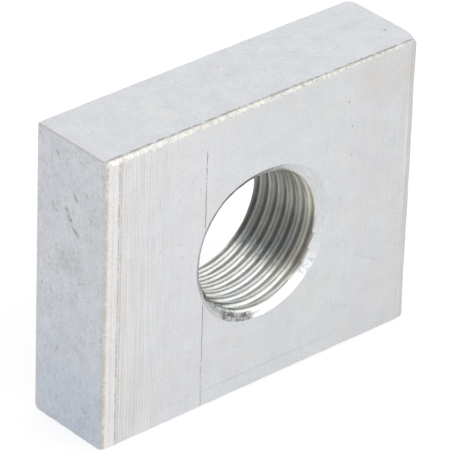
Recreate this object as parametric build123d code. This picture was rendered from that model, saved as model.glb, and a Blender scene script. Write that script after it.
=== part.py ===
"""T-slot nut: a plain rectangular block cut from drawn flat bar, with one tapped hole through it.

The block stands on a cut end. X runs across its width, Z up its height, and Y through its
thickness, along the axis of the hole, with its front face towards -Y. The origin is on the axis
of the hole, midway between the two faces. Lengths are in millimetres and angles in degrees.
"""

from build123d import *
import os
from math import radians, tan

# The block.
block_width = 45.0
block_thickness = 11.4
block_height = 36.0

# The tapped hole, M18 x 1.5. The bore is the wall that the crests of the thread lie on.
thread_crest_diameter = 16.7
countersink_diameter = 18.8
countersink_angle = 120.0

# Corners of the bar, seen along its length from above: they run up the block.
front_left_radius = 0.8
front_right_radius = 1.0
back_right_radius = 1.3
back_left_radius = 0.3

# The front face falls away a little beside each long edge of the bar.
left_margin_width = 2.0
right_margin_width = 1.2
margin_drop = 0.1

# Long edges of the two cut ends, which run across the block. The cut rolled the lower back one over.
bottom_back_radius = 1.2
bottom_front_radius = 0.25
top_back_radius = 0.2

# Short edges of the two cut ends, which run through the thickness.
top_left_radius = 0.15
top_right_radius = 0.3
bottom_left_radius = 0.2
bottom_right_radius = 0.5

# The front edge of the top end has a bevel: how far it comes down the front face at each side,
# and how far back across the end it goes at the left.
bevel_drop_left = 0.7
bevel_drop_right = 0.25
bevel_setback_left = 0.25

# The front right corner of the top end is knocked off: how far this reaches along each edge.
knock_across = 0.9
knock_back = 2.0
knock_down = 1.4

half_width = block_width / 2
half_thickness = block_thickness / 2
half_height = block_height / 2


def rounded_section(corners):
    """A flat section through the given corners, each of them (x, y, radius)."""
    outline = Polyline(*[(x, y) for x, y, radius in corners], close=True)
    section = make_face(outline)
    for x, y, radius in corners:
        if radius:
            corner = section.vertices().sort_by_distance((x, y, 0))[0]
            section = fillet(corner, radius)
    return section


def drawn_bar():
    """The block's shape as seen from above: a length of the bar, with its falling margins."""
    margin_line = -half_thickness + margin_drop
    section = rounded_section([
        (-half_width, half_thickness, back_left_radius),
        (-half_width, margin_line, front_left_radius),
        (-half_width + left_margin_width, -half_thickness, 0),
        (half_width - right_margin_width, -half_thickness, 0),
        (half_width, margin_line, front_right_radius),
        (half_width, half_thickness, back_right_radius),
    ])
    return extrude(section, half_height, both=True)


def side_shape():
    """The block's shape as seen from the side, with the long edges of its ends rounded."""
    section = rounded_section([
        (-half_thickness, -half_height, bottom_front_radius),
        (half_thickness, -half_height, bottom_back_radius),
        (half_thickness, half_height, top_back_radius),
        (-half_thickness, half_height, 0),
    ])
    return extrude(Plane.YZ * section, half_width, both=True)


def front_shape():
    """The block's shape as seen from the front, with the short edges of its ends rounded."""
    section = rounded_section([
        (-half_width, -half_height, bottom_left_radius),
        (half_width, -half_height, bottom_right_radius),
        (half_width, half_height, top_right_radius),
        (-half_width, half_height, top_left_radius),
    ])
    return extrude(Plane.XZ * section, half_thickness, both=True)


def plane_through(first, second, third):
    """The plane through three points, facing the side that sees them turn anticlockwise."""
    across = Vector(*second) - Vector(*first)
    normal = across.cross(Vector(*third) - Vector(*first))
    return Plane(origin=first, x_dir=across, z_dir=normal)


def bevel_top_front(block):
    """Cuts the long bevel off the front edge of the top end."""
    plane = plane_through(
        (-half_width, -half_thickness, half_height - bevel_drop_left),
        (half_width, -half_thickness, half_height - bevel_drop_right),
        (-half_width, -half_thickness + bevel_setback_left, half_height),
    )
    return split(block, bisect_by=plane, keep=Keep.BOTTOM)


def knock_corner(block):
    """Cuts off the front right corner of the top end."""
    plane = plane_through(
        (half_width - knock_across, -half_thickness, half_height),
        (half_width, -half_thickness, half_height - knock_down),
        (half_width, -half_thickness + knock_back, half_height),
    )
    return split(block, bisect_by=plane, keep=Keep.BOTTOM)


def hole():
    """What the tapped hole takes out: its bore, with a countersink at each face."""
    bore_radius = thread_crest_diameter / 2
    mouth_radius = countersink_diameter / 2
    slope = tan(radians(countersink_angle / 2))
    depth = (mouth_radius - bore_radius) / slope
    profile = Polyline(
        (0, -half_thickness - depth),
        (mouth_radius + depth * slope, -half_thickness - depth),
        (bore_radius, -half_thickness + depth),
        (bore_radius, half_thickness - depth),
        (mouth_radius + depth * slope, half_thickness + depth),
        (0, half_thickness + depth),
        close=True,
    )
    return revolve(make_face(profile), Axis.Y)


def slot_nut():
    """The whole nut."""
    block = side_shape() & front_shape() & drawn_bar()
    block = knock_corner(bevel_top_front(block))
    return block - hole()


os.makedirs("parts", exist_ok=True)
export_step(slot_nut(), "parts/slot_nut.step")
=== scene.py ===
import math

import bpy
import numpy as np
from mathutils import Matrix, Vector
from mathutils.geometry import delaunay_2d_cdt


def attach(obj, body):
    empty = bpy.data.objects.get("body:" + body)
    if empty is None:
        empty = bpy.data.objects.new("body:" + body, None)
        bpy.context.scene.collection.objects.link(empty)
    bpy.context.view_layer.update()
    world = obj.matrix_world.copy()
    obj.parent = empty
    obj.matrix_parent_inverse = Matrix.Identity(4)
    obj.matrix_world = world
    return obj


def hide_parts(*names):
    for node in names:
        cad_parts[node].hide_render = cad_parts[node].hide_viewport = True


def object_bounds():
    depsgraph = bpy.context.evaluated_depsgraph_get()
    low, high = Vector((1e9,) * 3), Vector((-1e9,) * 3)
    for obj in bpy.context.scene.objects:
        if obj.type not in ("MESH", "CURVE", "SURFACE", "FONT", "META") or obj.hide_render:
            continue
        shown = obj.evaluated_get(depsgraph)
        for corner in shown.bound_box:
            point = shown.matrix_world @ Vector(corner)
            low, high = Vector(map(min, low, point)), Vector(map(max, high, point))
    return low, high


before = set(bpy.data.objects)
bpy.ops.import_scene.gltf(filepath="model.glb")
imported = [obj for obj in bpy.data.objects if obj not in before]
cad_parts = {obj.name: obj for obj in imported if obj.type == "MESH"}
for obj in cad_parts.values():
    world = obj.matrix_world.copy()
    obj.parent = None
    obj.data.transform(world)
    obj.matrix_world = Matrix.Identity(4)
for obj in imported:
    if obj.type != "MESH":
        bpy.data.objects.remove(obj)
cad_low, cad_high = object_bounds()

# All shapes below are worked out in millimetres and written to Blender in metres.
MM = 0.001
HALF_X, HALF_Y, HALF_Z = ((cad_high - cad_low) / 2 / MM)

# ---------------------------------------------------------------- sizes of the block, in mm

# Corners of the drawn bar, which run up the block.
FRONT_LEFT_RADIUS = 0.75
FRONT_RIGHT_RADIUS = 1.0
BACK_RIGHT_RADIUS = 1.3
BACK_LEFT_RADIUS = 0.3
# Edges of the two cut ends.
TOP_BACK_RADIUS = 0.2
BOTTOM_BACK_RADIUS = 1.2
BOTTOM_FRONT_RADIUS = 0.25
TOP_LEFT_RADIUS = 0.15
TOP_RIGHT_RADIUS = 0.3
BOTTOM_LEFT_RADIUS = 0.2
BOTTOM_RIGHT_RADIUS = 0.5
# The bevel on the front edge of the top end dies away to the right.
BEVEL_DROP_LEFT = 0.80
BEVEL_DROP_RIGHT = 0.26
BEVEL_SETBACK_LEFT = 0.26
BEVEL_SETBACK_RIGHT = 0.05
# The front face falls away beside the bar's long edges, behind a drawing line.
LEFT_MARGIN = 1.9
RIGHT_MARGIN = 1.2
MARGIN_DROP = 0.09
LINE_DEPTH = 0.035
LINE_HALF_WIDTH = 0.09
# The front right corner of the top end is knocked off: how far that reaches along each edge.
KNOCK_ACROSS = 0.9
KNOCK_BACK = 2.0
KNOCK_DOWN = 1.4
# The cut ends aren't quite flat.
TOP_BOW = 0.07
BOTTOM_BOW = 0.07
BOW_POWER = 8

# ---------------------------------------------------------------- sizes of the hole, in mm

PITCH = 1.5
MAJOR_RADIUS = 8.95
CREST_RADIUS = 8.35
ROOT_FLAT = PITCH / 8
FLANK_ANGLE = math.radians(30)
# Depth of the middle of the first thread root at the right side of the hole, from the middle of the block.
FIRST_ROOT = -4.39
# The countersinks are uneven: their radii on the two faces every 45 degrees, from the right side upwards.
FRONT_RIM = (9.77, 9.66, 9.12, 9.37, 9.38, 9.54, 9.34, 9.42)
REAR_RIM = (9.42, 9.36, 9.40, 9.46, 9.42, 9.36, 9.38, 9.44)
COUNTERSINK_SLOPE = math.tan(math.radians(60))

# How softly the thread's crests and roots turn into its flanks, and the thread into the countersinks.
CREST_BLEND = 0.34
ROOT_BLEND = 0.16
COUNTERSINK_BLEND = 0.03
# Columns of vertices round the hole.
COLUMNS = 256
# Rows of vertices in one turn of the thread, in mm along the pitch from the middle of the root.
PHASES = (0.0, 0.07, 0.13, 0.21, 0.29, 0.37, 0.44, 0.52, 0.63,
          0.75, 0.87, 0.98, 1.06, 1.13, 1.21, 1.29, 1.37, 1.43)


# ---------------------------------------------------------------- helpers

def wander(values, step, size, seed):
    """A smooth random curve along one length: knots every step, values within plus or minus size."""
    low = float(np.min(values)) - 2 * step
    count = int((float(np.max(values)) - low) / step) + 6
    knots = np.random.default_rng(seed).uniform(-size, size, count)
    place = (np.asarray(values) - low) / step
    whole = np.floor(place).astype(int)
    part = place - whole
    part = part * part * (3 - 2 * part)
    return knots[whole] * (1 - part) + knots[whole + 1] * part


def smooth_min(a, b, width):
    h = np.maximum(width - np.abs(a - b), 0) / width
    return np.minimum(a, b) - h * h * width / 4


def smooth_max(a, b, width):
    return -smooth_min(-a, -b, width)


def ease(value, low, high):
    t = np.clip((value - low) / (high - low), 0, 1)
    return t * t * (3 - 2 * t)


# ---------------------------------------------------------------- the block

# Distances of the mesh's lines from each side of the block, closest where it is rounded or grooved.
LEFT_LINES = (0, .04, .08, .12, .17, .23, .3, .38, .46, .54, .63, .75, .9, 1.1, 1.35, 1.6,
              1.75, 1.81, 1.86, 1.9, 1.94, 1.99, 2.05, 2.2)
RIGHT_LINES = (0, .04, .08, .12, .17, .23, .3, .4, .5, .62, .75, .88, 1.0, 1.1,
               1.15, 1.2, 1.25, 1.3, 1.4, 1.6, 1.8)
FRONT_LINES = (0, .04, .08, .12, .16, .2, .25, .32, .4, .5, .65, .8, 1.0, 1.3)
BACK_LINES = (0, .05, .1, .15, .2, .3, .45, .6, .75, .9, 1.05, 1.2, 1.3, 1.6)
TOP_LINES = (0, .04, .08, .12, .16, .2, .25, .3, .35, .4, .45, .5, .55, .6, .65, .7, .75, .8,
             .9, 1.05, 1.3, 1.7, 2.3)
BOTTOM_LINES = (0, .04, .08, .12, .16, .2, .25, .35, .5, .65, .8, 1.0, 1.2, 1.5, 2.0)
# Steps of the lines between those.
STEP_X, STEP_Y, STEP_Z = 0.21, 0.9, 1.0


def grid_lines(half, first, last, step):
    """Lines across the block: set distances from both ends, and even steps between them."""
    low = -half + np.array(first, float)
    high = half - np.array(last, float)[::-1]
    count = int(round((high[0] - low[-1]) / step))
    middle = np.linspace(low[-1], high[0], count + 1)[1:-1]
    return np.concatenate([low, middle, high])


def round_edge(points, axis_a, side_a, size_a, axis_b, side_b, size_b, power=2.0):
    """Draws the corner of a section in to a superellipse: power 2 is an arc and power 1 a flat bevel."""
    halves = (HALF_X, HALF_Y, HALF_Z)
    u = 1 - (halves[axis_a] - side_a * points[:, axis_a]) / size_a
    w = 1 - (halves[axis_b] - side_b * points[:, axis_b]) / size_b
    inside = (u > 0) & (w > 0)
    u, w = np.where(inside, u, 1.0), np.where(inside, w, 1.0)
    shrink = np.maximum(u, w) / (u ** power + w ** power) ** (1 / power)
    moved_a = side_a * (halves[axis_a] - (1 - u * shrink) * size_a)
    moved_b = side_b * (halves[axis_b] - (1 - w * shrink) * size_b)
    points[:, axis_a] = np.where(inside, moved_a, points[:, axis_a])
    points[:, axis_b] = np.where(inside, moved_b, points[:, axis_b])


def shape_block(points):
    """Turns the plain box of grid points into the worn block."""
    x, y, z = points[:, 0].copy(), points[:, 1].copy(), points[:, 2].copy()
    along = (x + HALF_X) / (2 * HALF_X)
    drop = BEVEL_DROP_LEFT + (BEVEL_DROP_RIGHT - BEVEL_DROP_LEFT) * along
    drop = drop * (1 + wander(x, 2.3, 0.12, 11) + wander(x, 0.45, 0.12, 12)) + wander(x, 0.4, 0.06, 13)
    drop = np.maximum(drop, 0.03)
    setback = BEVEL_SETBACK_LEFT + (BEVEL_SETBACK_RIGHT - BEVEL_SETBACK_LEFT) * along
    setback = setback * (1 + wander(x, 1.4, 0.2, 14) + wander(x, 0.38, 0.22, 15))
    round_edge(points, 1, -1, setback, 2, 1, drop, 1.1)
    chipped = 1 + wander(x, 1.7, 0.25, 21)
    round_edge(points, 1, 1, TOP_BACK_RADIUS * chipped, 2, 1, TOP_BACK_RADIUS * chipped)
    round_edge(points, 1, 1, BOTTOM_BACK_RADIUS, 2, -1, BOTTOM_BACK_RADIUS)
    chipped = 1 + wander(x, 1.1, 0.3, 22)
    round_edge(points, 1, -1, BOTTOM_FRONT_RADIUS * chipped, 2, -1, BOTTOM_FRONT_RADIUS * chipped)
    chipped = 1 + wander(y, 0.9, 0.3, 23)
    round_edge(points, 0, -1, TOP_LEFT_RADIUS * chipped, 2, 1, TOP_LEFT_RADIUS * chipped)
    round_edge(points, 0, 1, TOP_RIGHT_RADIUS, 2, 1, TOP_RIGHT_RADIUS)
    chipped = 1 + wander(y, 0.8, 0.3, 24)
    round_edge(points, 0, -1, BOTTOM_LEFT_RADIUS * chipped, 2, -1, BOTTOM_LEFT_RADIUS * chipped)
    round_edge(points, 0, 1, BOTTOM_RIGHT_RADIUS, 2, -1, BOTTOM_RIGHT_RADIUS)
    chipped = 1 + wander(z, 2.5, 0.12, 25)
    round_edge(points, 0, -1, FRONT_LEFT_RADIUS * chipped, 1, -1, FRONT_LEFT_RADIUS * chipped)
    chipped = 1 + wander(z, 2.9, 0.1, 26)
    round_edge(points, 0, 1, FRONT_RIGHT_RADIUS * chipped, 1, -1, FRONT_RIGHT_RADIUS * chipped)
    round_edge(points, 0, 1, BACK_RIGHT_RADIUS, 1, 1, BACK_RIGHT_RADIUS)
    round_edge(points, 0, -1, BACK_LEFT_RADIUS, 1, 1, BACK_LEFT_RADIUS)
    knock_corner(points)
    press_margins(points)
    bow_ends(points)


def knock_corner(points):
    """The front right corner of the top end is knocked off flat."""
    corner = np.array((HALF_X, -HALF_Y, HALF_Z))
    cut = np.array((corner - (KNOCK_ACROSS, 0, 0), corner + (0, KNOCK_BACK, 0), corner - (0, 0, KNOCK_DOWN)))
    normal = np.cross(cut[1] - cut[0], cut[2] - cut[0])
    normal = normal / np.linalg.norm(normal)
    if normal[0] < 0:
        normal = -normal
    beyond = (points - cut[0]) @ normal
    points -= np.outer(np.maximum(beyond, 0), normal)


def press_margins(points):
    """Lets the front face fall away beside the long edges, with a drawn line where it starts to."""
    reach = 1.5
    x, y, z = points[:, 0], points[:, 1], points[:, 2]
    front = np.clip(1 - (y + HALF_Y) / reach, 0, 1)
    left = np.clip((-HALF_X + LEFT_MARGIN - x) / LEFT_MARGIN, 0, 1)
    right = np.clip((x - HALF_X + RIGHT_MARGIN) / RIGHT_MARGIN, 0, 1)
    middle = -HALF_X + LEFT_MARGIN + wander(z, 4.0, 0.03, 31)
    groove = np.clip(1 - np.abs(x - middle) / LINE_HALF_WIDTH, 0, 1)
    groove *= LINE_DEPTH * (1 + wander(z, 1.3, 0.9, 32))
    y += front * (MARGIN_DROP * (left + 0.6 * right) + groove)


def bow_ends(points):
    """Rounds the top end down towards its sides and the bottom end up in its middle."""
    x, z = points[:, 0], points[:, 2]
    across = (x / HALF_X) ** 2
    up = np.clip(z / HALF_Z, 0, 1) ** BOW_POWER
    down = np.clip(-z / HALF_Z, 0, 1) ** BOW_POWER
    z -= up * TOP_BOW * across
    z += down * BOTTOM_BOW * (1 - across)


# ---------------------------------------------------------------- the tapped hole

def rim_radius(angle, radii):
    """The countersink's radius at an angle, through radii at even steps round it."""
    place = (angle / (2 * math.pi) * len(radii)) % len(radii)
    whole = np.floor(place).astype(int)
    t = place - whole
    r = np.array(radii)
    p0, p1, p2, p3 = (r[(whole + k) % len(radii)] for k in (-1, 0, 1, 2))
    smooth = p1 + 0.5 * t * (p2 - p0 + t * (2 * p0 - 5 * p1 + 4 * p2 - p3 + t * (3 * (p1 - p2) + p3 - p0)))
    return smooth + wander(angle, 0.09, 0.02, 41)


def hole_radius(angle, y):
    """Radius of the hole: the thread, or the countersinks where they are wider."""
    phase = y - FIRST_ROOT + PITCH * angle / (2 * math.pi)
    off = np.abs((phase + PITCH / 2) % PITCH - PITCH / 2)
    flank = MAJOR_RADIUS - (off - ROOT_FLAT / 2) / math.tan(FLANK_ANGLE)
    thread = smooth_max(CREST_RADIUS, smooth_min(MAJOR_RADIUS, flank, ROOT_BLEND), CREST_BLEND)
    front = rim_radius(angle, FRONT_RIM) - (y + HALF_Y) * COUNTERSINK_SLOPE
    rear = rim_radius(angle, REAR_RIM) - (HALF_Y - y) * COUNTERSINK_SLOPE
    return smooth_max(thread, np.maximum(front, rear), COUNTERSINK_BLEND)


class Builder:
    """Collects the vertices and faces of one mesh, with a material for each face."""

    def __init__(self):
        self.points = []
        self.count = 0
        self.faces = []
        self.materials = []

    def add_points(self, points):
        first = self.count
        self.points.append(np.asarray(points, float))
        self.count += len(points)
        return np.arange(first, self.count)

    def add_face(self, corners, material):
        self.faces.append(corners)
        self.materials.append(material)


FRONT, BACK, SIDE, CUT, BEVEL, COUNTERSINK, THREAD = range(7)


def add_shell(builder):
    """The outside of the block, without the middle of the front and back faces. Returns their borders."""
    xs = grid_lines(HALF_X, LEFT_LINES, RIGHT_LINES, STEP_X)
    ys = grid_lines(HALF_Y, FRONT_LINES, BACK_LINES, STEP_Y)
    zs = grid_lines(HALF_Z, BOTTOM_LINES, TOP_LINES, STEP_Z)
    nx, ny, nz = len(xs), len(ys), len(zs)
    keep_x = (len(LEFT_LINES) - 1, nx - len(RIGHT_LINES))
    keep_z = (len(BOTTOM_LINES) - 1, nz - len(TOP_LINES))
    i, j, k = np.meshgrid(np.arange(nx), np.arange(ny), np.arange(nz), indexing="ij")
    surface = (i == 0) | (i == nx - 1) | (j == 0) | (j == ny - 1) | (k == 0) | (k == nz - 1)
    window = (i > keep_x[0]) & (i < keep_x[1]) & (k > keep_z[0]) & (k < keep_z[1])
    surface &= ~(window & ((j == 0) | (j == ny - 1)))
    points = np.stack([xs[i[surface]], ys[j[surface]], zs[k[surface]]], axis=1)
    shape_block(points)
    index = np.full((nx, ny, nz), -1)
    index[surface] = builder.add_points(points)

    def sheet(ids, flip, material, hole=None):
        for a in range(ids.shape[0] - 1):
            for b in range(ids.shape[1] - 1):
                if hole and hole[0][0] <= a < hole[0][1] and hole[1][0] <= b < hole[1][1]:
                    continue
                corners = (ids[a, b], ids[a + 1, b], ids[a + 1, b + 1], ids[a, b + 1])
                builder.add_face(corners[::-1] if flip else corners, material)

    sheet(index[:, 0, :], False, FRONT, (keep_x, keep_z))
    sheet(index[:, -1, :], True, BACK, (keep_x, keep_z))
    sheet(index[0, :, :], True, SIDE)
    sheet(index[-1, :, :], False, SIDE)
    sheet(index[:, :, 0], True, CUT)
    sheet(index[:, :, -1], False, CUT)

    def border(j):
        ids = index[:, j, :]
        (x0, x1), (z0, z1) = keep_x, keep_z
        return np.concatenate([ids[x0:x1, z0], ids[x1, z0:z1], ids[x1:x0:-1, z1], ids[x0, z1:z0:-1]])

    return border(0), border(ny - 1)


def add_face_with_hole(builder, border, ring, y, flip, material):
    """Fills a flat face between its outer border and the rim of the hole, round loose points."""
    known = np.concatenate(builder.points)
    outer, inner = known[border][:, (0, 2)], known[ring][:, (0, 2)]
    radius = np.hypot(inner[:, 0], inner[:, 1]).max()
    low, high = outer.min(0), outer.max(0)
    spacing = 1.15
    free = []
    for row, z in enumerate(np.arange(low[1] + spacing * 0.6, high[1] - spacing * 0.4, spacing * 0.87)):
        for x in np.arange(low[0] + spacing * (0.6 + 0.5 * (row % 2)), high[0] - spacing * 0.4, spacing):
            if math.hypot(x, z) > radius + 0.75 * spacing:
                free.append((x, z))
    turn = np.linspace(0, 2 * math.pi, 96, endpoint=False)
    free.extend(zip((radius + 0.45) * np.cos(turn), (radius + 0.45) * np.sin(turn)))
    free = np.array(free)
    loose = builder.add_points(np.column_stack([free[:, 0], np.full(len(free), y), free[:, 1]]))
    ids = np.concatenate([border, ring, loose])
    flat = np.concatenate([outer, inner, free])
    n, m = len(border), len(ring)
    edges = [(a, (a + 1) % n) for a in range(n)] + [(n + a, n + (a + 1) % m) for a in range(m)]
    done = delaunay_2d_cdt([Vector(p) for p in flat], edges, [], 0, 1e-7, True)
    origin = [source[0] for source in done[3]]
    for triangle in done[2]:
        a, b, c = (origin[v] for v in triangle)
        if min(a, b, c) >= n and max(a, b, c) < n + m:
            continue
        corners = (ids[a], ids[b], ids[c])
        builder.add_face(corners[::-1] if flip else corners, material)


def add_hole(builder):
    """The wall of the hole, in rows that follow the thread and end at the two rims. Returns the rims."""
    turns = np.arange(COLUMNS) * 2 * math.pi / COLUMNS
    rims = []
    for y, radii in ((-HALF_Y, FRONT_RIM), (HALF_Y, REAR_RIM)):
        radius = rim_radius(turns, radii)
        rim = np.column_stack([radius * np.cos(turns), np.full(COLUMNS, y), radius * np.sin(turns)])
        rims.append(builder.add_points(rim))
    front, rear = rims
    per_turn = len(PHASES)
    first_turn = int(math.floor((-HALF_Y - FIRST_ROOT) / PITCH)) - 1
    count = (int(math.ceil(2 * HALF_Y / PITCH)) + 3) * per_turn
    row = np.arange(count)
    start = FIRST_ROOT + PITCH * (first_turn + row // per_turn) + np.array(PHASES)[row % per_turn]
    y = start[None, :] - PITCH * turns[:, None] / (2 * math.pi)
    near = 0.025
    inside = (y > -HALF_Y + near) & (y < HALF_Y - near)
    angle = np.broadcast_to(turns[:, None], y.shape)
    radius = hole_radius(angle[inside], y[inside])
    wall = np.column_stack([radius * np.cos(angle[inside]), y[inside], radius * np.sin(angle[inside])])
    index = np.where(y < 0, front[:, None], rear[:, None])
    index[inside] = builder.add_points(wall)

    def corner(column, line):
        if column < COLUMNS:
            return index[column, line], y[column, line]
        if line - per_turn < 0:
            return front[0], -HALF_Y
        return index[0, line - per_turn], y[0, line - per_turn]

    for a in range(COLUMNS):
        for b in range(count - 1):
            found = [corner(a, b), corner(a + 1, b), corner(a + 1, b + 1), corner(a, b + 1)]
            corners = []
            for vertex, _ in found:
                if vertex not in corners:
                    corners.append(vertex)
            if len(corners) < 3:
                continue
            middle = sum(depth for _, depth in found) / 4
            turn = (a + 0.5) * 2 * math.pi / COLUMNS
            cone = rim_radius(np.array([turn]), FRONT_RIM)[0] - (middle + HALF_Y) * COUNTERSINK_SLOPE
            material = COUNTERSINK if cone > CREST_RADIUS + 0.15 else THREAD
            builder.add_face(tuple(corners), material)
    return front, rear


def mark_bevel(mesh):
    """Gives the bevel its own material."""
    for face in mesh.polygons:
        centre, tilt = face.center / MM, face.normal.z
        near = centre.y < -HALF_Y + 0.5 and centre.z > HALF_Z - 1.2
        if near and 0.12 < tilt < 0.93 and face.material_index in (FRONT, CUT, SIDE):
            face.material_index = BEVEL


def build_nut():
    """The whole nut as one object."""
    sharp = math.radians(28)
    builder = Builder()
    front_border, back_border = add_shell(builder)
    front_rim, back_rim = add_hole(builder)
    add_face_with_hole(builder, front_border, front_rim, -HALF_Y, False, FRONT)
    add_face_with_hole(builder, back_border, back_rim, HALF_Y, True, BACK)
    mesh = bpy.data.meshes.new("t_slot_nut")
    points = np.concatenate(builder.points) * MM
    mesh.from_pydata(points.tolist(), [], [tuple(int(v) for v in f) for f in builder.faces])
    mesh.polygons.foreach_set("material_index", builder.materials)
    mark_bevel(mesh)
    mesh.polygons.foreach_set("use_smooth", [True] * len(mesh.polygons))
    mesh.set_sharp_from_angle(angle=sharp)
    mesh.validate(verbose=True)
    mesh.update()
    nut = bpy.data.objects.new("t_slot_nut_plated", mesh)
    bpy.context.scene.collection.objects.link(nut)
    return nut


# ---------------------------------------------------------------- materials

class Graph:
    """A material's node tree, with lengths in millimetres."""

    def __init__(self, name):
        self.material = bpy.data.materials.new(name)
        self.material.use_nodes = True
        self.nodes = self.material.node_tree.nodes
        self.links = self.material.node_tree.links
        self.shader = self.nodes["Principled BSDF"]
        coordinates = self.nodes.new("ShaderNodeTexCoord")
        scaled = self.nodes.new("ShaderNodeVectorMath")
        scaled.operation = "SCALE"
        scaled.inputs["Scale"].default_value = 1 / MM
        self.links.new(coordinates.outputs["Object"], scaled.inputs[0])
        self.place = scaled.outputs[0]
        split = self.nodes.new("ShaderNodeSeparateXYZ")
        self.links.new(self.place, split.inputs[0])
        self.x, self.y, self.z = split.outputs

    def feed(self, socket, value):
        if isinstance(value, bpy.types.NodeSocket):
            self.links.new(value, socket)
        elif isinstance(value, tuple) and len(value) == 3 and socket.type == "RGBA":
            socket.default_value = (*value, 1)
        else:
            socket.default_value = value

    def math(self, operation, a, b=0.0):
        node = self.nodes.new("ShaderNodeMath")
        node.operation = operation
        for socket, value in zip(node.inputs, (a, b)):
            self.feed(socket, value)
        return node.outputs[0]

    def add(self, a, b):
        return self.math("ADD", a, b)

    def times(self, a, b):
        return self.math("MULTIPLY", a, b)

    def most(self, a, b):
        return self.math("MAXIMUM", a, b)

    def ease(self, value, start, end, low=0.0, high=1.0):
        """Goes smoothly from low at start to high at end."""
        node = self.nodes.new("ShaderNodeMapRange")
        node.interpolation_type = "SMOOTHSTEP"
        if start > end:
            start, end, low, high = end, start, high, low
        for socket, number in zip(node.inputs, (value, start, end, low, high)):
            self.feed(socket, number)
        return node.outputs[0]

    def line(self, value, middle, half_width, soft):
        """1 within half_width of the middle, and 0 beyond a soft border."""
        off = self.math("ABSOLUTE", self.math("SUBTRACT", value, middle))
        return self.ease(off, half_width + soft, half_width)

    def vector(self, x, y, z):
        node = self.nodes.new("ShaderNodeCombineXYZ")
        for socket, value in zip(node.inputs, (x, y, z)):
            self.feed(socket, value)
        return node.outputs[0]

    def stretched(self, factors, shift=(0.0, 0.0, 0.0)):
        """The place with each axis scaled, for a pattern that runs along one of them."""
        node = self.nodes.new("ShaderNodeVectorMath")
        node.operation = "MULTIPLY_ADD"
        self.links.new(self.place, node.inputs[0])
        node.inputs[1].default_value = factors
        node.inputs[2].default_value = shift
        return node.outputs[0]

    def noise(self, vector, scale, detail=2.0, roughness=0.5, distortion=0.0):
        node = self.nodes.new("ShaderNodeTexNoise")
        self.feed(node.inputs["Vector"], vector)
        node.inputs["Scale"].default_value = scale
        node.inputs["Detail"].default_value = detail
        node.inputs["Roughness"].default_value = roughness
        node.inputs["Distortion"].default_value = distortion
        return node.outputs["Fac"]

    def centred(self, *settings):
        """The noise with its middle at zero."""
        return self.math("SUBTRACT", self.noise(*settings), 0.5)

    def multiply(self, colour, mask, factor):
        """The colour times the factor colour where the mask is 1."""
        node = self.nodes.new("ShaderNodeMix")
        node.data_type = "RGBA"
        node.blend_type = "MULTIPLY"
        self.feed(node.inputs[0], mask)
        self.feed(node.inputs[6], colour)
        self.feed(node.inputs[7], factor)
        return node.outputs[2]

    def ramp(self, value, stops):
        node = self.nodes.new("ShaderNodeValToRGB")
        self.links.new(value, node.inputs[0])
        elements = node.color_ramp.elements
        while len(elements) < len(stops):
            elements.new(0.5)
        for element, (position, colour) in zip(elements, stops):
            element.position = position
            element.color = (*colour, 1)
        return node.outputs[0]

    def brighten(self, colour, amount):
        """The colour times one plus the amount."""
        node = self.nodes.new("ShaderNodeVectorMath")
        node.operation = "SCALE"
        self.feed(node.inputs[0], colour)
        self.feed(node.inputs["Scale"], self.add(amount, 1.0))
        return node.outputs[0]

    def spot(self, middle, radii, soft=0.5):
        """A soft ellipsoid: 1 inside, and 0 outside. A radius of None leaves that axis out."""
        total = None
        for axis, centre, radius in zip((self.x, self.y, self.z), middle, radii):
            if radius is None:
                continue
            off = self.times(self.math("SUBTRACT", axis, centre), 1 / radius)
            square = self.times(off, off)
            total = square if total is None else self.add(total, square)
        return self.ease(total, 1 + soft, 1 - soft)

    def stroke(self, first, second, axes, half_width):
        """A straight hair scratch between two points of a flat face."""
        a, b = (self.x, self.y, self.z)[axes[0]], (self.x, self.y, self.z)[axes[1]]
        du, dv = second[0] - first[0], second[1] - first[1]
        length = math.hypot(du, dv)
        du, dv = du / length, dv / length
        ra, rb = self.math("SUBTRACT", a, first[0]), self.math("SUBTRACT", b, first[1])
        along = self.add(self.times(ra, du), self.times(rb, dv))
        across = self.add(self.times(ra, -dv), self.times(rb, du))
        body = self.line(across, 0.0, half_width, half_width)
        return self.times(body, self.line(along, length / 2, length / 2 - 0.3, 0.6))

    def finish(self, colour, roughness, height):
        """Connects the metal. The height is in millimetres."""
        self.links.new(colour, self.shader.inputs["Base Color"])
        self.shader.inputs["Metallic"].default_value = 1
        self.feed(self.shader.inputs["Roughness"], roughness)
        bump = self.nodes.new("ShaderNodeBump")
        bump.inputs["Strength"].default_value = 1
        bump.inputs["Distance"].default_value = MM
        self.links.new(height, bump.inputs["Height"])
        self.links.new(bump.outputs[0], self.shader.inputs["Normal"])
        return self.material


# The plating's own colour, what warmer places multiply it by, and what dark marks and painted shade multiply
# it by.
ZINC = (0.768, 0.778, 0.797)
WARM = (1.0, 0.982, 0.955)
DIRT_AND_SHADE = (0.50, 0.47, 0.43)

# Specks on the front face: x and z of the middle, the radius, and how dark.
FRONT_SPECKS = (
    (12.2, 13.4, 0.12, 0.5), (12.8, 10.1, 0.11, 0.5), (11.4, 1.5, 0.14, 0.3), (-14.6, 4.3, 0.10, 0.4),
    (12.9, 6.5, 0.11, 0.5), (-11.5, 2.4, 0.10, 0.35), (11.6, 12.2, 0.07, 0.3))
# Scratches on the front face: x and z of both ends, and how dark.
FRONT_SCRATCHES = (
    ((14.0, -6.7), (17.5, -8.7), 0.25), ((10.6, -12.1), (13.7, -13.3), 0.22),
    ((-7.6, 6.2), (-4.4, 6.0), 0.10), ((6.2, -14.6), (6.4, -16.6), 0.16), ((6.4, -16.6), (8.2, -17.5), 0.16))
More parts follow.
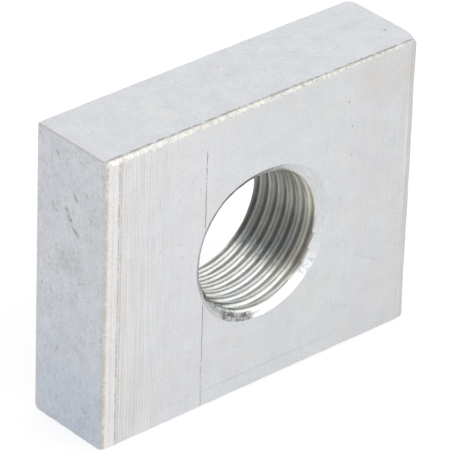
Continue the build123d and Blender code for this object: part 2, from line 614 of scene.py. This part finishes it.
# Scuffs on the left side: y and z of both ends, and half the width.
SIDE_SCUFFS = (
    ((-0.5, 12.0), (-1.2, 11.2), 0.16), ((0.7, 9.8), (-0.1, 8.2), 0.26), ((-0.1, 8.2), (-1.4, 6.9), 0.20),
    ((2.4, 16.1), (1.9, 15.3), 0.10), ((4.5, 12.7), (4.4, 12.2), 0.09), ((3.0, 9.4), (2.2, 8.6), 0.14))


def plated(graph, seed, blotch, grain):
    """The plating that every face shares: faint clouds, faint colours of the film, and a fine grain."""
    place = graph.stretched((1, 1, 1), (seed * 13.7, seed * 5.1, seed * 9.3))
    film = graph.ramp(graph.noise(place, 0.16, 3, 0.55, 0.6), (
        (0.30, (1.0, 0.985, 0.985)), (0.42, (0.985, 1.0, 0.995)), (0.52, (0.99, 0.992, 1.0)),
        (0.62, (1.0, 0.995, 0.975)), (0.72, (0.985, 0.99, 1.0))))
    colour = graph.multiply(ZINC, 1.0, film)
    clouds = graph.centred(place, 0.45, 3, 0.6)
    grains = graph.centred(place, 3.4, 3, 0.7)
    colour = graph.brighten(colour, graph.add(graph.times(clouds, blotch), graph.times(grains, grain)))
    return place, colour, grains


def hairs(graph, place, scale, width, amount, seed):
    """Thin curved hair scratches, here and there."""
    shifted = graph.nodes.new("ShaderNodeVectorMath")
    shifted.operation = "ADD"
    graph.links.new(place, shifted.inputs[0])
    shifted.inputs[1].default_value = (seed * 3.1, seed * 7.7, seed * 1.9)
    where = shifted.outputs[0]
    curve = graph.math("ABSOLUTE", graph.centred(where, scale, 1.5, 0.5, 0.8))
    thin = graph.ease(curve, width, width * 0.3)
    patches = graph.ease(graph.noise(where, scale * 1.4, 2, 0.6), 0.54, 0.66)
    return graph.times(graph.times(thin, patches), amount)


def pits(graph, place, scale, limit, amount):
    """Small dark pits and specks."""
    fine = graph.noise(place, scale, 2, 0.6)
    return graph.times(graph.ease(fine, limit, limit + 0.06), amount)


def drawn_lines(graph, seed):
    """Fine lines along the bar, strongest beside its long edges."""
    x = graph.x
    strands = graph.stretched((1, 1, 0.035), (seed * 7.3, 0, 0))
    fine = graph.centred(strands, 3.4, 2, 0.6)
    broad = graph.centred(strands, 0.9, 2, 0.5)
    sway = graph.times(graph.noise(strands, 1.1, 2, 0.5), 9.0)
    wave = graph.math("SINE", graph.add(graph.times(x, 16.5), sway))
    left_zone = graph.times(graph.ease(x, -21.2, -20.6), graph.ease(x, -10.5, -18.5))
    right_zone = graph.ease(x, 20.6, 21.1)
    strength = graph.add(0.22, graph.add(graph.times(left_zone, 0.8), graph.times(right_zone, 0.8)))
    fibres = graph.add(graph.times(fine, 0.6), graph.times(wave, 0.11))
    return graph.times(graph.add(fibres, graph.times(broad, 0.08)), strength)


def front_crack(graph):
    """The long dark line down the front face, broken near its top."""
    wave = graph.times(graph.centred(graph.vector(0, 0, graph.z), 0.5, 2), 0.35)
    crack = graph.line(graph.x, graph.add(wave, -8.35), 0.03, 0.06)
    dashes = graph.ease(graph.noise(graph.vector(3.0, 7.0, graph.z), 0.8, 4, 0.7), 0.34, 0.46)
    return graph.times(graph.times(crack, dashes), graph.ease(graph.z, 15.0, 13.8))


def front_marks(graph, marks, crack, rubbed):
    """The marks with the front face's own lines, specks and scratches added."""
    x, z = graph.x, graph.z
    low = graph.ease(z, -5.0, -9.0, 1.0, 0.75)
    marks = graph.most(marks, graph.times(crack, low))
    line = graph.line(x, -HALF_X + LEFT_MARGIN, 0.05, 0.08)
    broken = graph.ease(graph.noise(graph.vector(1.0, 2.0, z), 1.7, 3, 0.7), 0.36, 0.60)
    marks = graph.most(marks, graph.times(graph.times(line, broken), 0.55))
    dash = graph.times(graph.line(x, -14.9, 0.02, 0.05), graph.line(z, 10.1, 0.55, 0.4))
    marks = graph.most(marks, graph.times(dash, 0.45))
    for px, pz, radius, dark in FRONT_SPECKS:
        speck = graph.spot((px, 0, pz), (radius, None, radius * 1.6))
        marks = graph.most(marks, graph.times(speck, dark))
    for first, second, dark in FRONT_SCRATCHES:
        marks = graph.most(marks, graph.times(graph.stroke(first, second, (0, 2), 0.04), dark))
    seam = graph.times(graph.line(x, -21.38, 0.02, 0.06), rubbed)
    return graph.most(marks, graph.times(seam, 0.30))


def front_tones(graph, colour, rubbed):
    """The bright band with its tan edges at the left, partly a painted highlight, and painted light and
    shade across the face: lighter to the left, duller and darker to the right.
    """
    x = graph.x
    # Partly a painted highlight: the strip beside the left edge is lighter, partly the plating's own tint
    # there.
    band = graph.line(x, -21.42, 0.66, 0.10)
    colour = graph.multiply(colour, graph.times(band, 0.9), (1.12, 1.105, 1.09))
    outer_tan = graph.line(x, -22.22, 0.20, 0.10)
    colour = graph.multiply(colour, graph.times(outer_tan, rubbed), (0.80, 0.75, 0.70))
    inner_tan = graph.line(x, -20.28, 0.10, 0.12)
    colour = graph.multiply(colour, graph.times(inner_tan, rubbed), (0.90, 0.86, 0.82))
    # Painted light and shade: the left of the face is lighter, the right duller, and its right end darker.
    colour = graph.multiply(colour, graph.ease(x, 4.0, -12.0), (1.06, 1.05, 1.05))
    colour = graph.multiply(colour, graph.ease(x, 8.0, 19.0), (0.97, 0.96, 0.955))
    colour = graph.multiply(colour, graph.ease(x, 21.0, 21.5), (0.93, 0.93, 0.92))
    stain = graph.spot((17.5, 0, 14.8), (4.0, None, 3.0), 0.9)
    return graph.multiply(colour, graph.times(stain, 0.7), (0.985, 0.965, 0.94))


def make_drawn(name, seed, front):
    """The wide drawn faces, with fine lines along the bar."""
    graph = Graph(name)
    place, colour, grains = plated(graph, seed, 0.14, 0.34)
    x, z = graph.x, graph.z
    lines = drawn_lines(graph, seed)
    colour = graph.brighten(colour, graph.times(lines, 0.48))
    warm = graph.ease(x, -13.0, -20.0, 0.0, 0.75)
    warm = graph.most(warm, graph.ease(x, 18.5, 22.0, 0.0, 0.7))
    warm = graph.most(warm, graph.ease(z, 13.5, 17.6, 0.0, 0.5))
    colour = graph.multiply(colour, warm, WARM)
    marks = pits(graph, place, 2.3, 0.72, 0.3)
    marks = graph.most(marks, hairs(graph, place, 0.22, 0.010, 0.12, seed))
    height = graph.add(graph.times(lines, 0.010), graph.times(grains, 0.006))
    if front:
        crack = front_crack(graph)
        height = graph.add(height, graph.times(crack, -0.02))
        rubbed = graph.ease(graph.noise(graph.vector(x, 9.0, z), 1.6, 4, 0.7), 0.36, 0.56, 0.25, 1.0)
        marks = front_marks(graph, marks, crack, rubbed)
        colour = front_tones(graph, colour, rubbed)
    colour = graph.multiply(colour, marks, DIRT_AND_SHADE)
    roughness = graph.add(graph.add(0.42, graph.times(grains, 0.10)), graph.times(lines, 0.2))
    return graph.finish(colour, roughness, height)


def make_side(name, seed):
    """The narrow drawn faces: mottled, with dark scuffs on the left one, and painted shade that darkens
    them, most towards the bottom.
    """
    graph = Graph(name)
    place, colour, grains = plated(graph, seed, 0.22, 0.34)
    # Painted shade: the narrow faces are darker all over, and more so towards the bottom.
    colour = graph.multiply(colour, 1.0, (0.925, 0.935, 0.96))
    x, y, z = graph.x, graph.y, graph.z
    low = graph.ease(z, 4.0, -18.0, 0.0, 1.0)
    colour = graph.multiply(colour, low, (0.90, 0.93, 0.985))
    smear = graph.noise(graph.stretched((1, 1.0, 0.7), (seed, 3, 1)), 1.5, 6, 0.8, 1.2)
    dirty = graph.ease(smear, 0.48, 0.70, 0.0, 0.42)
    scuffed = graph.times(graph.spot((0, 0.1, 3.4), (None, 2.1, 1.6), 0.95), 0.5)
    for first, second, width in SIDE_SCUFFS:
        scuffed = graph.most(scuffed, graph.stroke(first, second, (1, 2), width))
    scuffed = graph.times(scuffed, graph.ease(x, -21.5, -22.2))
    torn = graph.ease(graph.noise(graph.stretched((1, 1.2, 0.9)), 1.9, 4, 0.7, 0.6), 0.42, 0.60, 0.15, 0.75)
    marks = graph.most(dirty, graph.times(scuffed, torn))
    marks = graph.most(marks, hairs(graph, place, 0.36, 0.015, 0.24, seed))
    colour = graph.multiply(colour, marks, DIRT_AND_SHADE)
    top = graph.line(z, HALF_Z - 0.05, 0.07, 0.09)
    colour = graph.multiply(colour, graph.times(top, 0.55), DIRT_AND_SHADE)
    warm = graph.ease(y, -5.1, -5.3, 0.0, 1.0)
    colour = graph.multiply(colour, warm, (0.98, 0.94, 0.90))
    height = graph.add(graph.times(grains, 0.008), graph.times(marks, -0.008))
    roughness = graph.add(graph.add(0.45, graph.times(grains, 0.12)), graph.times(marks, 0.2))
    return graph.finish(colour, roughness, height)


def make_cut(name, seed):
    """The two cut ends: smooth, with hair scratches, and a line of painted shade behind the bevel."""
    graph = Graph(name)
    place, colour, grains = plated(graph, seed, 0.19, 0.36)
    x, y = graph.x, graph.y
    marks = hairs(graph, place, 0.20, 0.008, 0.26, seed)
    marks = graph.most(marks, hairs(graph, place, 0.38, 0.014, 0.20, seed + 4))
    marks = graph.most(marks, pits(graph, place, 1.7, 0.68, 0.3))
    dot = graph.spot((20.5, -2.1, HALF_Z), (0.15, 0.15, None))
    marks = graph.most(marks, graph.times(dot, 0.75))
    # Painted shade: a dark ragged line along the back of the bevel stands in for the shade of the burr
    # there.
    back_left, back_right = -HALF_Y + BEVEL_SETBACK_LEFT, -HALF_Y + BEVEL_SETBACK_RIGHT
    edge = graph.math("SUBTRACT", y, graph.ease(x, -HALF_X, HALF_X, back_left, back_right))
    ragged = graph.times(graph.centred(graph.vector(x, 0, 0), 2.4, 4, 0.75), 0.9)
    burr_shade = graph.line(graph.add(edge, ragged), 0.12, 0.10, 0.14)
    broken = graph.ease(graph.noise(graph.vector(x, 4, 0), 1.1, 4, 0.75), 0.34, 0.56)
    marks = graph.most(marks, graph.times(graph.times(burr_shade, broken), 0.75))
    patch = graph.spot((-11.2, -0.9, HALF_Z), (1.0, 2.3, None), 0.9)
    colour = graph.multiply(colour, graph.times(patch, 0.8), (1.045, 1.03, 0.975))
    colour = graph.multiply(colour, 1.0, (1.02, 1.025, 1.04))
    warm = graph.ease(x, -20.5, -22.3, 0.0, 0.8)
    colour = graph.multiply(colour, warm, (1.0, 0.97, 0.94))
    left = graph.line(x, -HALF_X + 0.06, 0.06, 0.1)
    marks = graph.most(marks, graph.times(left, 0.4))
    colour = graph.multiply(colour, marks, DIRT_AND_SHADE)
    height = graph.add(graph.times(grains, 0.006), graph.times(marks, -0.008))
    roughness = graph.add(graph.add(0.42, graph.times(grains, 0.10)), graph.times(marks, 0.2))
    return graph.finish(colour, roughness, height)


def make_bevel(name, seed):
    """The bevel: torn bright metal, striped across, with painted shade along its top edge."""
    graph = Graph(name)
    _, colour, grains = plated(graph, seed, 0.2, 0.5)
    colour = graph.multiply(colour, 1.0, (0.99, 0.965, 0.90))
    stripes = graph.centred(graph.stretched((1, 0.5, 0.5)), 2.4, 4, 0.75)
    colour = graph.brighten(colour, graph.times(stripes, 0.9))
    torn = graph.ease(graph.noise(graph.stretched((0.8, 1, 1), (5, 1, 2)), 2.2, 4, 0.75), 0.50, 0.62)
    worn = graph.ease(graph.x, -12.0, 16.0, 0.32, 0.80)
    # Painted shade: the top edge of the bevel is darkened for the shade of the burr above it.
    upper = graph.add(graph.z, graph.times(graph.times(graph.x, graph.x), TOP_BOW / HALF_X ** 2))
    upper = graph.ease(upper, HALF_Z - 0.20, HALF_Z - 0.04)
    torn = graph.most(graph.times(torn, worn), graph.times(upper, 0.5))
    colour = graph.multiply(colour, torn, DIRT_AND_SHADE)
    height = graph.add(graph.times(stripes, 0.08), graph.times(grains, 0.05))
    return graph.finish(colour, graph.add(0.46, graph.times(grains, 0.1)), height)


def angle_and_radius(graph):
    """The angle round the hole in degrees, from the right side upwards, and the distance from its axis."""
    turn = graph.times(graph.math("ARCTAN2", graph.z, graph.x), 180 / math.pi)
    squares = graph.add(graph.times(graph.x, graph.x), graph.times(graph.z, graph.z))
    return turn, graph.math("SQRT", squares)


def make_countersink(name, seed):
    """The countersinks: turned bright, chattered and scuffed in places."""
    graph = Graph(name)
    place, colour, grains = plated(graph, seed, 0.1, 0.3)
    turn, radius = angle_and_radius(graph)
    rings = graph.centred(graph.vector(radius, graph.times(turn, 0.012), 0), 4.5, 3, 0.6)
    colour = graph.brighten(colour, graph.times(rings, 0.40))
    chatter = graph.ease(graph.noise(place, 2.0, 5, 0.8, 0.6), 0.40, 0.56)
    first = graph.times(graph.line(turn, -111.0, 11.0, 8.0), graph.times(chatter, 0.9))
    second = graph.times(graph.line(turn, -40.0, 5.0, 5.0), graph.times(chatter, 0.45))
    marks = graph.most(first, second)
    colour = graph.multiply(colour, marks, (0.22, 0.22, 0.21))
    dull = graph.line(turn, -145.0, 40.0, 12.0)
    colour = graph.multiply(colour, graph.times(dull, 0.8), (0.80, 0.80, 0.79))
    height = graph.add(graph.times(rings, 0.02), graph.times(grains, 0.01))
    roughness = graph.add(0.27, graph.times(marks, 0.25))
    return graph.finish(colour, roughness, height)


def make_thread(name):
    """The thread: dull olive grey and streaked along the turns, its dark base partly painted shade; with a
    painted lit band below, painted light at the upper right and on the first turn, painted shade in the
    roots, and a mottled dark patch low at the front left.
    """
    graph = Graph(name)
    turn, radius = angle_and_radius(graph)
    helix = graph.add(graph.y, graph.times(turn, PITCH / 360))
    along = graph.vector(graph.times(turn, 0.03), helix, radius)
    streaks = graph.centred(along, 3.8, 4, 0.7)
    patchy = graph.centred(graph.place, 0.35, 3, 0.6)
    # Partly painted shade: the base is kept dark so the thread looks dim inside the hole.
    colour = graph.ramp(graph.noise(graph.place, 0.22, 3, 0.6), (
        (0.35, (0.285, 0.300, 0.305)), (0.50, (0.300, 0.306, 0.285)), (0.65, (0.320, 0.320, 0.306))))
    colour = graph.brighten(colour, graph.add(graph.times(streaks, 0.75), graph.times(patchy, 0.7)))
    # Painted light: a band round the bottom of the hole is painted over three times lighter.
    bright = graph.line(graph.add(turn, graph.times(streaks, 45.0)), -94.0, 32.0, 22.0)
    colour = graph.multiply(colour, bright, (3.30, 3.30, 3.36))
    # Painted shade: the roots are darker, more so inside the painted lit band.
    root = graph.ease(radius, 8.56, 8.74)
    amount = graph.add(0.40, graph.times(bright, 0.25))
    colour = graph.multiply(colour, graph.times(root, amount), (0.40, 0.40, 0.39))
    # Painted light: the thread is painted lighter at the upper right of the hole.
    upper = graph.line(turn, 42.0, 32.0, 30.0)
    colour = graph.multiply(colour, upper, (1.65, 1.65, 1.62))
    mottle = graph.ease(graph.noise(graph.place, 1.1, 4, 0.75), 0.38, 0.54, 0.35, 1.0)
    low = graph.times(graph.line(turn, -132.0, 17.0, 10.0), graph.ease(graph.y, -0.8, -2.8))
    low = graph.times(low, mottle)
    colour = graph.multiply(colour, graph.times(low, 0.9), (0.30, 0.33, 0.33))
    # Painted light: the first turn, near the front opening, is lighter, except in the painted lit band.
    mouth_light = graph.ease(graph.add(graph.y, graph.times(patchy, 1.5)), -2.0, -3.4, 0.0, 1.0)
    mouth_light = graph.times(mouth_light, graph.math("SUBTRACT", 1.0, bright))
    colour = graph.multiply(colour, mouth_light, (1.45, 1.39, 1.33))
    height = graph.times(streaks, 0.02)
    roughness = graph.add(graph.add(0.50, graph.times(bright, -0.12)), graph.times(streaks, 0.15))
    return graph.finish(colour, roughness, height)


# ---------------------------------------------------------------- floor, light and camera

# Radiance of the floor on top of what its grey diffuse share throws back: what reflections see, and what
# the camera sees more than that, which brings it to white.
FLOOR_GREY = 0.45
FLOOR_GLOW = 0.46
FLOOR_EXTRA = 0.17
WORLD_STRENGTH = 0.9

# The camera's direction and roll in degrees, its distance and shift in mm, and its lens.
CAMERA_AZIMUTH, CAMERA_ELEVATION, CAMERA_ROLL = -42.224, 30.748, 1.968
CAMERA_DISTANCE = 518.1
CAMERA_RIGHT, CAMERA_UP = -0.161, -0.466
CAMERA_LENS, CAMERA_SENSOR = 376.2, 36


def make_floor():
    """A white floor under the nut, which keeps its shadow and can't be seen from below."""
    size = 3.0
    z = -HALF_Z * MM
    mesh = bpy.data.meshes.new("floor")
    corners = [(-size, -size, z), (size, -size, z), (size, size, z), (-size, size, z)]
    mesh.from_pydata(corners, [], [(0, 1, 2, 3)])
    floor = bpy.data.objects.new("floor", mesh)
    bpy.context.scene.collection.objects.link(floor)
    material = bpy.data.materials.new("floor_white")
    material.use_nodes = True
    tree = material.node_tree
    nodes, links = tree.nodes, tree.links
    nodes.clear()
    output = nodes.new("ShaderNodeOutputMaterial")
    diffuse = nodes.new("ShaderNodeBsdfDiffuse")
    diffuse.inputs["Color"].default_value = (FLOOR_GREY, FLOOR_GREY, FLOOR_GREY, 1)
    glow = nodes.new("ShaderNodeEmission")
    glow.inputs["Color"].default_value = (1, 1, 1, 1)
    path = nodes.new("ShaderNodeLightPath")
    seen = nodes.new("ShaderNodeMath")
    seen.operation = "MAXIMUM"
    links.new(path.outputs["Is Camera Ray"], seen.inputs[0])
    links.new(path.outputs["Is Glossy Ray"], seen.inputs[1])
    either = nodes.new("ShaderNodeMath")
    either.operation = "MAXIMUM"
    links.new(seen.outputs[0], either.inputs[0])
    links.new(path.outputs["Is Transmission Ray"], either.inputs[1])
    strength = nodes.new("ShaderNodeMath")
    strength.operation = "MULTIPLY_ADD"
    strength.inputs[1].default_value = FLOOR_GLOW
    extra = nodes.new("ShaderNodeMath")
    extra.operation = "MULTIPLY"
    extra.inputs[1].default_value = FLOOR_EXTRA
    links.new(path.outputs["Is Camera Ray"], extra.inputs[0])
    links.new(either.outputs[0], strength.inputs[0])
    links.new(extra.outputs[0], strength.inputs[2])
    links.new(strength.outputs[0], glow.inputs["Strength"])
    add = nodes.new("ShaderNodeAddShader")
    links.new(diffuse.outputs[0], add.inputs[0])
    links.new(glow.outputs[0], add.inputs[1])
    clear = nodes.new("ShaderNodeBsdfTransparent")
    geometry = nodes.new("ShaderNodeNewGeometry")
    under = nodes.new("ShaderNodeMixShader")
    links.new(geometry.outputs["Backfacing"], under.inputs[0])
    links.new(add.outputs[0], under.inputs[1])
    links.new(clear.outputs[0], under.inputs[2])
    links.new(under.outputs[0], output.inputs["Surface"])
    floor.data.materials.append(material)


def make_world():
    """White all round: the camera sees full white, and the nut is lit a little less."""
    world = bpy.data.worlds.new("studio")
    bpy.context.scene.world = world
    world.use_nodes = True
    nodes, links = world.node_tree.nodes, world.node_tree.links
    nodes.clear()
    output = nodes.new("ShaderNodeOutputWorld")
    lit = nodes.new("ShaderNodeBackground")
    lit.inputs["Color"].default_value = (1.0, 1.0, 1.0, 1)
    lit.inputs["Strength"].default_value = WORLD_STRENGTH
    white = nodes.new("ShaderNodeBackground")
    white.inputs["Color"].default_value = (1, 1, 1, 1)
    path = nodes.new("ShaderNodeLightPath")
    mix = nodes.new("ShaderNodeMixShader")
    links.new(path.outputs["Is Camera Ray"], mix.inputs[0])
    links.new(lit.outputs[0], mix.inputs[1])
    links.new(white.outputs[0], mix.inputs[2])
    links.new(mix.outputs[0], output.inputs["Surface"])


def make_softbox(name, direction, distance, width, height, radiance):
    """A soft box that faces the nut, as bright as radiance says."""
    data = bpy.data.lights.new(name, "AREA")
    data.shape = "RECTANGLE"
    data.size = width
    data.size_y = height
    data.energy = radiance * math.pi * width * height
    lamp = bpy.data.objects.new(name, data)
    bpy.context.scene.collection.objects.link(lamp)
    away = Vector(direction).normalized()
    lamp.location = away * distance
    lamp.rotation_mode = "QUATERNION"
    lamp.rotation_quaternion = away.to_track_quat("Z", "Y")
    lamp.visible_camera = False


def make_camera():
    """The photograph's camera, in front of the nut, to its left and above it."""
    azimuth, elevation = math.radians(CAMERA_AZIMUTH), math.radians(CAMERA_ELEVATION)
    roll = math.radians(CAMERA_ROLL)
    level = Vector((math.cos(azimuth), math.sin(azimuth), 0))
    ahead = Vector((math.sin(azimuth), -math.cos(azimuth), 0))
    back = ahead * math.cos(elevation) + Vector((0, 0, math.sin(elevation)))
    upright = back.cross(level)
    right = level * math.cos(roll) + upright * math.sin(roll)
    up = upright * math.cos(roll) - level * math.sin(roll)
    data = bpy.data.cameras.new("camera")
    data.sensor_width = CAMERA_SENSOR
    data.lens = CAMERA_LENS
    data.clip_start = 0.01
    data.clip_end = 20
    camera = bpy.data.objects.new("camera", data)
    bpy.context.scene.collection.objects.link(camera)
    place = (right * CAMERA_RIGHT + up * CAMERA_UP + back * CAMERA_DISTANCE) * MM
    camera.matrix_world = Matrix.Translation(place) @ Matrix((right, up, back)).transposed().to_4x4()
    bpy.context.scene.camera = camera


nut = build_nut()
# In the order of FRONT, BACK, SIDE, CUT, BEVEL, COUNTERSINK and THREAD. The numbers are seeds.
for material in (
    make_drawn("zinc_front", 1, True),
    make_drawn("zinc_back", 2, False),
    make_side("zinc_side", 3),
    make_cut("zinc_cut", 4),
    make_bevel("zinc_bevel", 5),
    make_countersink("zinc_countersink", 6),
    make_thread("zinc_thread"),
):
    nut.data.materials.append(material)
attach(nut, "root")
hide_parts("slot_nut")

make_floor()
make_world()
make_softbox("softbox_right", (0.25, -0.93, 0.25), 0.92, 0.68, 0.48, 1.7)
make_camera()
bpy.context.scene.view_settings.view_transform = "Standard"
